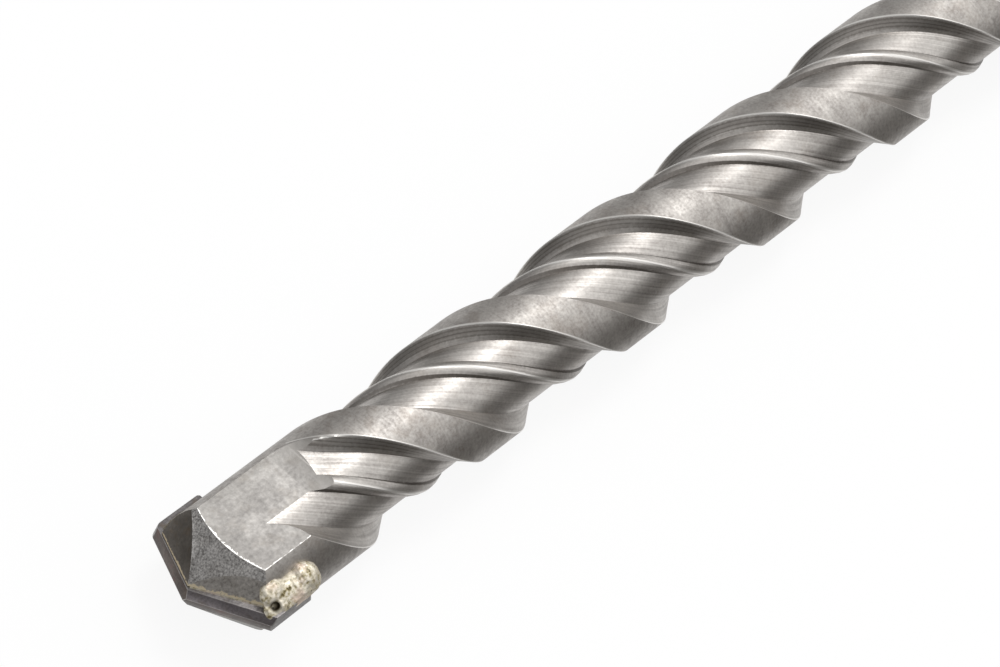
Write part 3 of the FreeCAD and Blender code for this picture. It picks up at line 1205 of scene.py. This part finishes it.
# The facet ground in front of each lip: fine lines, with braze flecks along the plate.
GASH_STEEL = Finish(
    "ground_gash_steel", "#8B8681", "#CFCAC4", (0.34, 0.46), Lines.LENGTHWISE,
    Pattern(0.25, 1.2, 0.012, 6.0), Pattern(2.0, 0.4), Pattern(0.3, 0.4, 0.006), Stain("#7A6E5C", 1.2, 0.15),
    marks=(Mark("From plate", 0.0, 0.28, "#F8E9C8", 0.9, 0.9),),
)
# The facet ground behind each lip: smooth, dark and a little brown.
HEEL_STEEL = Finish(
    "ground_heel_steel", "#484440", "#68635D", (0.34, 0.46), Lines.LENGTHWISE,
    Pattern(0.25, 0.4, 0.004, 8.0), Pattern(2.0, 0.5), Pattern(0.3, 0.3, 0.005), Stain("#5C4A34", 1.5, 0.35),
    marks=(Mark("From plate", 0.0, 0.15, "#E8D6B4", 0.5, 0.9),),
)
# Sintered tungsten carbide with a brown film of flux on its ground reliefs.
RELIEF_METAL = Finish(
    "ground_hard_metal", "#383130", "#60564F", (0.34, 0.46), Lines.LENGTHWISE,
    Pattern(0.2, 0.4, 0.003, 5.0), Pattern(2.5, 0.7), Pattern(0.25, 0.4, 0.004), Stain("#5A2E2A", 2.2, 0.6),
)
# The rake chamfers: violet grey, smoother.
RAKE_METAL = Finish(
    "lapped_hard_metal", "#676163", "#9C9698", (0.28, 0.4), Lines.LENGTHWISE,
    Pattern(0.2, 0.4, 0.003, 6.0), Pattern(2.0, 0.6), Pattern(0.25, 0.4, 0.004), Stain("#6A5A44", 1.5, 0.4),
)
# The plate's sides and broad faces as they came from the press and the oven.
PRESSED_METAL = Finish(
    "pressed_hard_metal", "#4A4747", "#8D8988", (0.36, 0.5), Lines.LENGTHWISE,
    Pattern(0.3, 0.5, 0.004, 6.0), Pattern(2.0, 0.6), Pattern(0.25, 0.5, 0.008), Stain("#6A5A44", 1.5, 0.4),
)
# The plate's broken edges, rubbed pale.
EDGE_METAL = Finish(
    "rubbed_hard_metal_edge", "#6E6A6A", "#B0ACAA", (0.3, 0.4), Lines.LENGTHWISE,
    Pattern(0.3, 0.4, 0.002, 4.0), Pattern(4.0, 0.8), Pattern(0.2, 0.5, 0.004),
)


@dataclass(frozen=True)
class SteelBody:
    """The bit's steel body: the fluted bar with its shank grooves and its ground head."""

    bit: BitSizes
    near: float = 0.03
    joint_depth: float = 0.12
    surface_depth: float = 0.05
    land_depth: float = 0.04
    groove_reach: float = 32.0
    head_reach: float = 24.0
    flat_front: float = 3.0
    flat_near: float = 0.006
    flat_facing: float = 0.35
    end_facing: float = 0.9
    sharp: float = 22.0
    finishes: ClassVar[tuple[Finish, ...]] = (
        FLUTE_STEEL, LAND_STEEL, SHANK_STEEL, GROOVE_STEEL, END_STEEL, FLAT_STEEL, BEVEL_STEEL, GASH_STEEL,
        HEEL_STEEL)

    def build(self, places: NodeTree) -> tuple[Object, Object]:
        """Makes the body and the filling of its slot.

        Args:
            places: the shader group of places on the bit.

        Returns:
            The body, and the part of the bar that the slot takes out, which the braze is made from.
        """
        head = HeadCutters(self.bit)
        materials = [finish.build(places) for finish in self.finishes]
        body = FlutedBar(self.bit).build(materials[0])
        combine(body, ShankGrooves(self.bit.turning).cutters())
        head.grind(body)
        filling = duplicate(body, "braze")
        combine(filling, [loft(head.slot())], "INTERSECT")
        combine(filling, [loft(rings) for rings in head.lips(self.bit.plate.turn, self.joint_depth)])
        combine(body, [loft(head.slot())])
        mesh = body.data
        zones = self.zones(read(mesh.polygons, "center", 3) / MM, read(mesh.polygons, "normal", 3))
        dress(mesh, materials, zones, self.sharp)
        self.ring_flats(mesh, zones)
        return body, filling

    def zones(self, centres: np.ndarray, normals: np.ndarray) -> np.ndarray:
        """Says which surface each face belongs to.

        Args:
            centres: the faces' middles in millimetres.
            normals: their directions.

        Returns:
            The number of each face's zone.
        """
        turning, grinding = self.bit.turning, self.bit.grinding
        x, y, z = centres.T
        radius = np.hypot(y, z)
        back = LENGTH - x
        height = np.abs(z)
        head = back < self.head_reach
        chamfer = turning.shank_radius - turning.end_chamfer_depth * (1 - x / turning.end_chamfer_length)
        surface = np.where(x < turning.end_chamfer_length, chamfer, turning.shank_radius)
        cone = np.hypot(y, height + grinding.bevel_axis_drop) - grinding.bevel_axis_drop
        turn = math.radians(self.bit.plate.turn)
        up = z * math.cos(turn) - y * math.sin(turn)
        across = (y * math.cos(turn) + z * math.sin(turn)) * np.sign(up)
        up = np.abs(up)
        bevel = grinding.bevel_setback + grinding.bevel_slope * cone
        gash = grinding.gash_setback + grinding.gash_lip_slope * across + grinding.gash_outward_slope * up
        heel = grinding.heel_setback - grinding.point_slope * across + grinding.heel_outward_slope * up
        flat = self.on_flat(back, height) & (np.abs(normals[:, 2]) > self.flat_facing)
        inside = radius < turning.land_radius - self.surface_depth
        zones = np.full(len(x), Zone.FLUTE.value)
        for zone, found in (
            (Zone.LAND, (x > turning.shank_length) & (radius > turning.land_radius - self.land_depth)),
            (Zone.SHANK, x <= turning.shank_length + turning.rim_width / 2),
            (Zone.GROOVE, (x < self.groove_reach) & (radius < surface - self.surface_depth)),
            (Zone.END, (x < self.near) & (normals[:, 0] < -self.end_facing)),
            (Zone.FLAT, head & flat & inside & (back > self.flat_front)),
            (Zone.BEVEL, head & (np.abs(back - bevel) < self.near)),
            (Zone.GASH, head & (np.abs(back - gash) < self.near)),
            (Zone.HEEL, head & (np.abs(back - heel) < self.near)),
        ):
            zones[found] = zone.value
        return zones

    def on_flat(self, back: np.ndarray, height: np.ndarray) -> np.ndarray:
        """Says whether points lie on a flat or on the fillet at its rear end.

        Args:
            back: how far behind the point they are.
            height: how far above or below the axis.

        Returns:
            For each whether it does.
        """
        sizes = self.bit.grinding
        along = np.clip(back - sizes.flat_length, 0, sizes.flat_end_radius)
        rise = sizes.flat_end_radius - np.sqrt(sizes.flat_end_radius**2 - along**2)
        return np.abs(height - sizes.flat_height - rise) < self.flat_near

    def ring_flats(self, mesh: Mesh, zones: np.ndarray) -> None:
        """Makes the edges round the flats sharp, however little they bend.

        Args:
            mesh: the body's mesh, which changes.
            zones: the number of each face's zone.
        """
        corners = np.repeat(zones == Zone.FLAT.value, read(mesh.polygons, "loop_total"))
        flat_sides = np.bincount(read(mesh.loops, "edge_index"), weights=corners, minlength=len(mesh.edges))
        for number in np.flatnonzero(flat_sides == 1):
            mesh.edges[int(number)].use_edge_sharp = True
        mesh.update()


class PlateZone(Enum):
    """The surfaces of the hard-metal plate, in the order of its materials."""

    RELIEF = 0
    RAKE = 1
    PRESSED = 2
    EDGE = 3


@dataclass(frozen=True)
class CarbidePlate:
    """The hard-metal plate with its roof-shaped point."""

    bit: BitSizes
    margin: float = 1.0
    far: float = 9.0
    flat_angle: float = 1.0
    edge_angle: float = 12.0
    edge_break: float = 0.05
    edge_segments: int = 2
    corner_radius: float = 0.45
    corner_segments: int = 4
    round_profile: float = 0.5
    corner_from_axis: float = 7.0
    corner_reach: float = 6.5
    corner_span: float = 2.0
    corner_height: float = 1.1
    same_facing: float = 0.999
    sharp: float = 18.0
    finishes: ClassVar[tuple[Finish, ...]] = (RELIEF_METAL, RAKE_METAL, PRESSED_METAL, EDGE_METAL)

    def blank(self) -> Object:
        """Makes the plate as it is before its point is ground.

        Returns:
            The plate, not turned yet.
        """
        sizes = self.bit.plate
        half = sizes.half_thickness
        rings = []
        for back in (-self.margin, sizes.length):
            lip = sizes.half_width - sizes.back_taper * max(back, 0)
            heel = lip - sizes.side_relief
            rings.append(np.array([[LENGTH - back, across, height] for across, height in
                                   ((lip, half), (heel, -half), (-lip, -half), (-heel, half))]))
        plate = loft(rings)
        plate.name = "hard_metal_plate"
        return plate

    def rear_corner(self) -> Rings:
        """What the chamfer takes off at one rear corner.

        Returns:
            The space.
        """
        sizes = self.bit.plate
        edge = sizes.half_width - sizes.back_taper * sizes.length
        front, rear = sizes.length - sizes.rear_chamfer, sizes.length + self.margin
        outside = edge + self.margin
        inside = edge - sizes.rear_chamfer - self.margin
        outline = ((front, outside), (front, edge), (rear, inside), (rear, outside))
        return [np.array([[LENGTH - back, across, height] for back, across in outline])
                for height in (-self.far, self.far)]

    def build(self, places: NodeTree) -> Object:
        """Makes the plate with its edges a little broken.

        Args:
            places: the shader group of places on the bit.

        Returns:
            The plate.
        """
        plate = self.blank()
        combine(plate, [loft(rings) for rings in HeadCutters(self.bit).lips(0.0) + both(self.rear_corner())])
        mesh = plate.data
        mesh.materials.clear()
        work = bmesh.new()
        work.from_mesh(mesh)
        bmesh.ops.dissolve_limit(work, angle_limit=math.radians(self.flat_angle), verts=work.verts,
                                 edges=work.edges)
        corner = [edge for edge in work.edges if self.is_corner(edge)]
        bmesh.ops.bevel(work, geom=corner, offset=self.corner_radius * MM, segments=self.corner_segments,
                        affect="EDGES", profile=self.round_profile)
        work.normal_update()
        for face, zone in [(face, self.zone(face.normal)) for face in work.faces]:
            face.material_index = zone.value
        sharp = [edge for edge in work.edges if edge.calc_face_angle(0.0) > math.radians(self.edge_angle)]
        bmesh.ops.bevel(work, geom=sharp, offset=self.edge_break * MM, segments=self.edge_segments,
                        affect="EDGES", profile=self.round_profile, material=PlateZone.EDGE.value)
        bmesh.ops.triangulate(work, faces=work.faces)
        work.to_mesh(mesh)
        work.free()
        points = turned(read(mesh.vertices, "co", 3), self.bit.plate.turn)
        mesh.vertices.foreach_set("co", points.ravel())
        materials = [finish.build(places) for finish in self.finishes]
        dress(mesh, materials, read(mesh.polygons, "material_index"), self.sharp)
        return plate

    def is_corner(self, edge: bmesh.types.BMEdge) -> bool:
        """Says whether an edge is the outer corner of the far lip, which is rounded more than the rest.

        Args:
            edge: an edge of the unturned plate.

        Returns:
            Whether it is.
        """
        first, second = (vertex.co / MM for vertex in edge.verts)
        middle = (first + second) / 2
        at_lip = middle.y < -self.corner_from_axis and LENGTH - middle.x < self.corner_reach
        return at_lip and abs(first.x - second.x) < self.corner_span and abs(middle.z) < self.corner_height

    def zone(self, normal: Vector) -> PlateZone:
        """Says which surface a face belongs to.

        Args:
            normal: the direction of a face of the unturned plate.

        Returns:
            The surface.
        """
        plate = self.bit.plate
        slope = self.bit.grinding.point_slope
        for zone, up in ((PlateZone.RELIEF, -plate.relief_slope), (PlateZone.RAKE, plate.rake_slope)):
            for sign in (1, -1):
                if normal.dot(Vector((1, slope * sign, up * sign)).normalized()) > self.same_facing:
                    return zone
        return PlateZone.PRESSED


@dataclass(frozen=True)
class Lump:
    """One swelling of the braze, in the plate's frame.

    It has its middle, its half sizes along the bit, across its face and in thickness, and the direction that
    it faces, in degrees from the plate's broad face towards the plate's side.
    """

    back: float
    across: float
    up: float
    along: float
    wide: float
    thick: float
    lean: float = 43.0

    def build(self, opposite: bool, turn: float, subdivisions: int = 4) -> Object:
        """Makes the swelling as a ball drawn out in three directions.

        Args:
            opposite: whether it stands on the other side of the bar.
            turn: how far the plate is turned against the flats, in degrees.
            subdivisions: how fine the ball is.

        Returns:
            The ball.
        """
        lean = math.radians(self.lean)
        ball = bmesh.new()
        bmesh.ops.create_icosphere(ball, subdivisions=subdivisions, radius=1.0)
        unit = np.array([vertex.co[:] for vertex in ball.verts])
        faces = [[vertex.index for vertex in face.verts] for face in ball.faces]
        ball.free()
        wide = unit[:, 1] * self.wide
        thick = unit[:, 2] * self.thick
        points = np.column_stack([
            LENGTH - self.back + unit[:, 0] * self.along,
            self.across + wide * math.cos(lean) + thick * math.sin(lean),
            self.up - wide * math.sin(lean) + thick * math.cos(lean),
        ])
        return mesh_from("lump", both([turned(points, turn)])[opposite][0], faces)


@dataclass(frozen=True)
class Braze:
    """The braze that fills the slot round the plate and stands in beads beside it."""

    sizes: PlateSizes
    grain: float = 0.09
    smoothing: int = 10
    smoothing_share: float = 0.5
    fold_stretch: tuple[float, float, float] = (1.0, 0.35, 0.35)
    skin_level: float = 0.55
    skin_octaves: float = 2.0
    skin_octave_strength: float = 0.55
    reach: float = 8.33
    far: float = 9.0
    beyond: float = 12.0
    ends: tuple[float, float] = (-5.0, 25.0)
    sharp: float = 40.0
    hole: Lump = Lump(4.6, 7.5, 1.7, 0.4, 0.36, 0.7)
    lumps: ClassVar[tuple[Lump, ...]] = (
        Lump(7.6, 7.25, 1.5, 3.0, 1.75, 0.85),
        Lump(6.0, 7.4, 1.3, 2.0, 1.5, 0.7),
        Lump(8.9, 7.0, 1.9, 1.6, 1.5, 1.0),
        Lump(5.3, 6.5, 2.25, 1.6, 1.2, 0.7),
        Lump(4.7, 7.4, 1.2, 1.3, 1.2, 0.45),
        Lump(6.3, 6.5, -1.6, 2.7, 0.95, 0.32, 137.0),
    )

    def skin(self) -> Shaping:
        """Makes the tree that wrinkles a bead's skin.

        Returns:
            The tree, with its sizes in millimetres as named inputs.
        """
        shaping = Shaping("braze_skin", {"Fold width": 0.6, "Fold depth": 0.32, "Pit width": 0.35,
                                         "Pit depth": 0.12})
        tree, values = shaping.tree, shaping.values
        add_steps(tree, values, [("fold scale", "DIVIDE", 1 / MM, "Fold width"),
                                 ("pit scale", "DIVIDE", 1 / MM, "Pit width")])
        drawn = add_node(tree, "ShaderNodeVectorMath", {"operation": "MULTIPLY"},
                         {0: shaping.position, 1: self.fold_stretch}).outputs[0]
        for name, place, scale in (("folds", drawn, "fold scale"), ("pits", shaping.position, "pit scale")):
            values[name] = add_node(tree, "ShaderNodeTexNoise", None,
                                    {"Vector": place, "Scale": values[scale], "Detail": self.skin_octaves,
                                     "Roughness": self.skin_octave_strength}).outputs[0]
        add_steps(tree, values, [
            ("folded", "SUBTRACT", "folds", self.skin_level),
            ("pitted", "SUBTRACT", "pits", self.skin_level),
            ("fold height", "MULTIPLY", "folded", "Fold depth"),
            ("pit height", "MULTIPLY", "pitted", "Pit depth"),
            ("height", "ADD", "fold height", "pit height"),
            ("metres", "MULTIPLY", "height", MM),
        ])
        normal = add_node(tree, "GeometryNodeInputNormal").outputs[0]
        offset = add_node(tree, "ShaderNodeVectorMath", {"operation": "SCALE"},
                          {0: normal, "Scale": values["metres"]})
        shaping.finish("Offset", offset.outputs[0])
        return shaping

    def bead(self, opposite: bool, material: Material, shaping: Shaping) -> Object:
        """Makes one bead, with its swellings grown together and wrinkled.

        Args:
            opposite: whether it stands on the other side of the bar.
            material: the braze.
            shaping: the tree that wrinkles it.

        Returns:
            The bead.
        """
        bead, *others = [lump.build(opposite, self.sizes.turn) for lump in self.lumps]
        combine(bead, others, "UNION")
        remesh = bead.modifiers.new("grow_together", "REMESH")
        remesh.mode = "VOXEL"
        remesh.voxel_size = self.grain * MM
        applied(bead)
        smooth = bead.modifiers.new("soften", "SMOOTH")
        smooth.factor = self.smoothing_share
        smooth.iterations = self.smoothing
        applied(bead)
        shaping.apply(bead, material)
        ground = both(self.ground_side())[opposite]
        combine(bead, [self.hole.build(opposite, self.sizes.turn, subdivisions=3), loft(ground)])
        return bead

    def ground_side(self) -> Rings:
        """Everything beyond the plate's ground side, which the grinding took off the bead as well.

        Returns:
            The space.
        """
        half = self.sizes.half_thickness
        low = self.reach - self.sizes.side_relief / (2 * half) * (self.far + half)
        outline = [(low, -self.far), (self.reach, half), (self.reach, self.far), (self.beyond, self.far),
                   (self.beyond, -self.far)]
        return [turned([[LENGTH - back, across, up] for across, up in outline], self.sizes.turn)
                for back in self.ends]

    def build(self, places: NodeTree, filling: Object, plate: Object) -> Object:
        """Joins the filling of the slot and the beads, and leaves the plate's room free.

        Args:
            places: the shader group of places on the bit.
            filling: what the slot takes out of the bar.
            plate: the plate that stands in it.

        Returns:
            The braze.
        """
        middle = turned([[LENGTH - self.hole.back, self.hole.across, self.hole.up]], self.sizes.turn)
        material = BrazeFinish().build(places, np.vstack([rings[0] for rings in both([middle])]))
        shaping = self.skin()
        beads = [self.bead(opposite, material, shaping) for opposite in (False, True)]
        combine(filling, beads, "UNION")
        combine(filling, [duplicate(plate, "room")])
        dress(filling.data, [material], np.zeros(len(filling.data.polygons)), self.sharp)
        return filling


@dataclass(frozen=True)
class View:
    """The camera, fitted to the outline and the helix in the photograph."""

    place: tuple[float, float, float] = (400.179, 153.837, 368.112)
    right: tuple[float, float, float] = (-0.68968, 0.71051, 0.13972)
    up: tuple[float, float, float] = (-0.5165, -0.61793, 0.59279)
    lens: float = 169.33
    sensor: float = 36.0
    clip_end: float = 10000.0

    def build(self) -> None:
        """Adds the camera to the scene."""
        right = Vector(self.right).normalized()
        up = Vector(self.up).normalized()
        data = bpy.data.cameras.new("camera")
        data.lens = self.lens
        data.sensor_width = self.sensor
        data.clip_end = self.clip_end * MM
        camera = bpy.data.objects.new("camera", data)
        facing = Matrix((right, up, right.cross(up))).transposed().to_4x4()
        camera.matrix_world = Matrix.Translation(Vector(self.place) * MM) @ facing
        bpy.context.scene.collection.objects.link(camera)
        bpy.context.scene.camera = camera


@dataclass(frozen=True)
class Studio:
    """White card under the bit, a broad soft light above it and darker walls."""

    card: str = "#F6F6F6"
    card_half_size: float = 3000.0
    card_roughness: float = 0.9
    own_light: float = 0.9
    sky_low: float = 0.24
    sky_high: float = 1.3
    key: tuple[float, float, float] = (-0.43, 0.27, 0.86)
    key_low: float = 0.1
    key_high: float = 1.0
    flag_profile: tuple[tuple[float, float], ...] = ((11.0, -6.75), (26.0, -5.5), (34.0, 12.0))
    flag_ends: tuple[float, float] = (-150.0, 330.0)
    flag_colour: str = "#7E7C7A"
    lamp_place: tuple[float, float, float] = (-150.0, -50.0, 800.0)
    lamp_aim: tuple[float, float, float] = (150.0, 0.0, 0.0)
    lamp_size: float = 300.0
    lamp_power: float = 2.0

    def stand(self, piece: Object, name: str, colour: str) -> Material:
        """Gives a thing of the studio a matt material.

        Args:
            piece: the floor or the flag.
            name: the material's name.
            colour: its colour.

        Returns:
            The material.
        """
        material = bpy.data.materials.new(name)
        material.use_nodes = True
        inputs = material.node_tree.nodes["Principled BSDF"].inputs
        inputs["Base Color"].default_value = linear(colour)
        inputs["Roughness"].default_value = self.card_roughness
        piece.data.materials.append(material)
        return material

    def floor(self, turning: Turning) -> None:
        """Lays the card, which is seen as white and keeps the shadow.

        Args:
            turning: the sizes of the bar that lies on it.
        """
        height = -(turning.land_radius + turning.rim_height)
        far = self.card_half_size
        corners = [[x, y, height] for x, y in ((-far, -far), (far, -far), (far, far), (-far, far))]
        floor = mesh_from("floor", np.array(corners), [[0, 1, 2, 3]])
        tree = self.stand(floor, "white_card", self.card).node_tree
        glow = add_node(tree, "ShaderNodeEmission", None, {"Color": linear("#FFFFFF"), "Strength": 1.0})
        path = add_node(tree, "ShaderNodeLightPath").outputs
        values = {socket.name: socket for socket in path}
        add_steps(tree, values, [
            ("seen", "MAXIMUM", "Is Camera Ray", "Is Glossy Ray"),
            ("seen or through", "MAXIMUM", "seen", "Is Transmission Ray"),
            ("share", "MULTIPLY", "seen or through", self.own_light),
        ])
        shader = tree.nodes["Principled BSDF"]
        mixed = add_node(tree, "ShaderNodeMixShader", None,
                         {0: values["share"], 1: shader.outputs[0], 2: glow.outputs[0]})
        tree.links.new(mixed.outputs[0], tree.nodes["Material Output"].inputs["Surface"])

    def flag(self) -> None:
        """A grey card beside the bit, out of the camera's and the lamps' way, that the steel mirrors."""
        corners = [[along, *corner] for along in self.flag_ends for corner in self.flag_profile]
        count = len(self.flag_profile)
        faces = [[row, row + 1, row + 1 + count, row + count] for row in range(count - 1)]
        flag = mesh_from("grey_flag", np.array(corners), faces)
        flag.visible_camera = False
        flag.visible_diffuse = False
        flag.visible_shadow = False
        self.stand(flag, "grey_card", self.flag_colour)

    def world(self) -> None:
        """The sky, brightest where the soft light hangs."""
        world = bpy.data.worlds.new("studio")
        world.use_nodes = True
        tree = world.node_tree
        direction = add_node(tree, "ShaderNodeTexCoord").outputs["Generated"]
        facing = add_node(tree, "ShaderNodeVectorMath", {"operation": "DOT_PRODUCT"},
                          {0: direction, 1: Vector(self.key).normalized()})
        values = {"facing": facing.outputs["Value"]}
        add_steps(tree, values, [
            ("bright", "SMOOTHSTEP", "facing", self.key_low, self.key_high, self.sky_low, self.sky_high)])
        background = tree.nodes["Background"]
        background.inputs["Color"].default_value = linear("#FFFFFF")
        tree.links.new(values["bright"], background.inputs["Strength"])
        bpy.context.scene.world = world

    def lamp(self) -> None:
        """A softbox that gives the edges their sparkle."""
        lamp = bpy.data.lights.new("softbox", "AREA")
        lamp.size = self.lamp_size * MM
        lamp.energy = self.lamp_power
        made = bpy.data.objects.new("softbox", lamp)
        made.location = Vector(self.lamp_place) * MM
        aim = Vector(self.lamp_aim) - Vector(self.lamp_place)
        made.rotation_euler = aim.to_track_quat("-Z", "Y").to_euler()
        bpy.context.scene.collection.objects.link(made)


def main() -> None:
    """Builds the pieces in order and reports each."""
    logging.basicConfig(level=logging.INFO, format="%(message)s")
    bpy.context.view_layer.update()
    bpy.context.scene.view_settings.view_transform = "Standard"
    bit = BitSizes()
    places = Places(bit).build()
    body, filling = SteelBody(bit).build(places)
    plate = CarbidePlate(bit).build(places)
    braze = Braze(bit.plate).build(places, filling, plate)
    for piece, node, slot in ((body, "drill_body", "tool_steel"), (plate, "carbide_tip", "hard_metal"),
                              (braze, "braze_joint", "braze")):
        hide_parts(node)
        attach(piece, "root")
        log.info("%s: %d faces", piece.name, len(piece.data.polygons))
    View().build()
    studio = Studio()
    studio.floor(bit.turning)
    studio.flag()
    studio.world()
    studio.lamp()


if __name__ == "__main__":
    main()
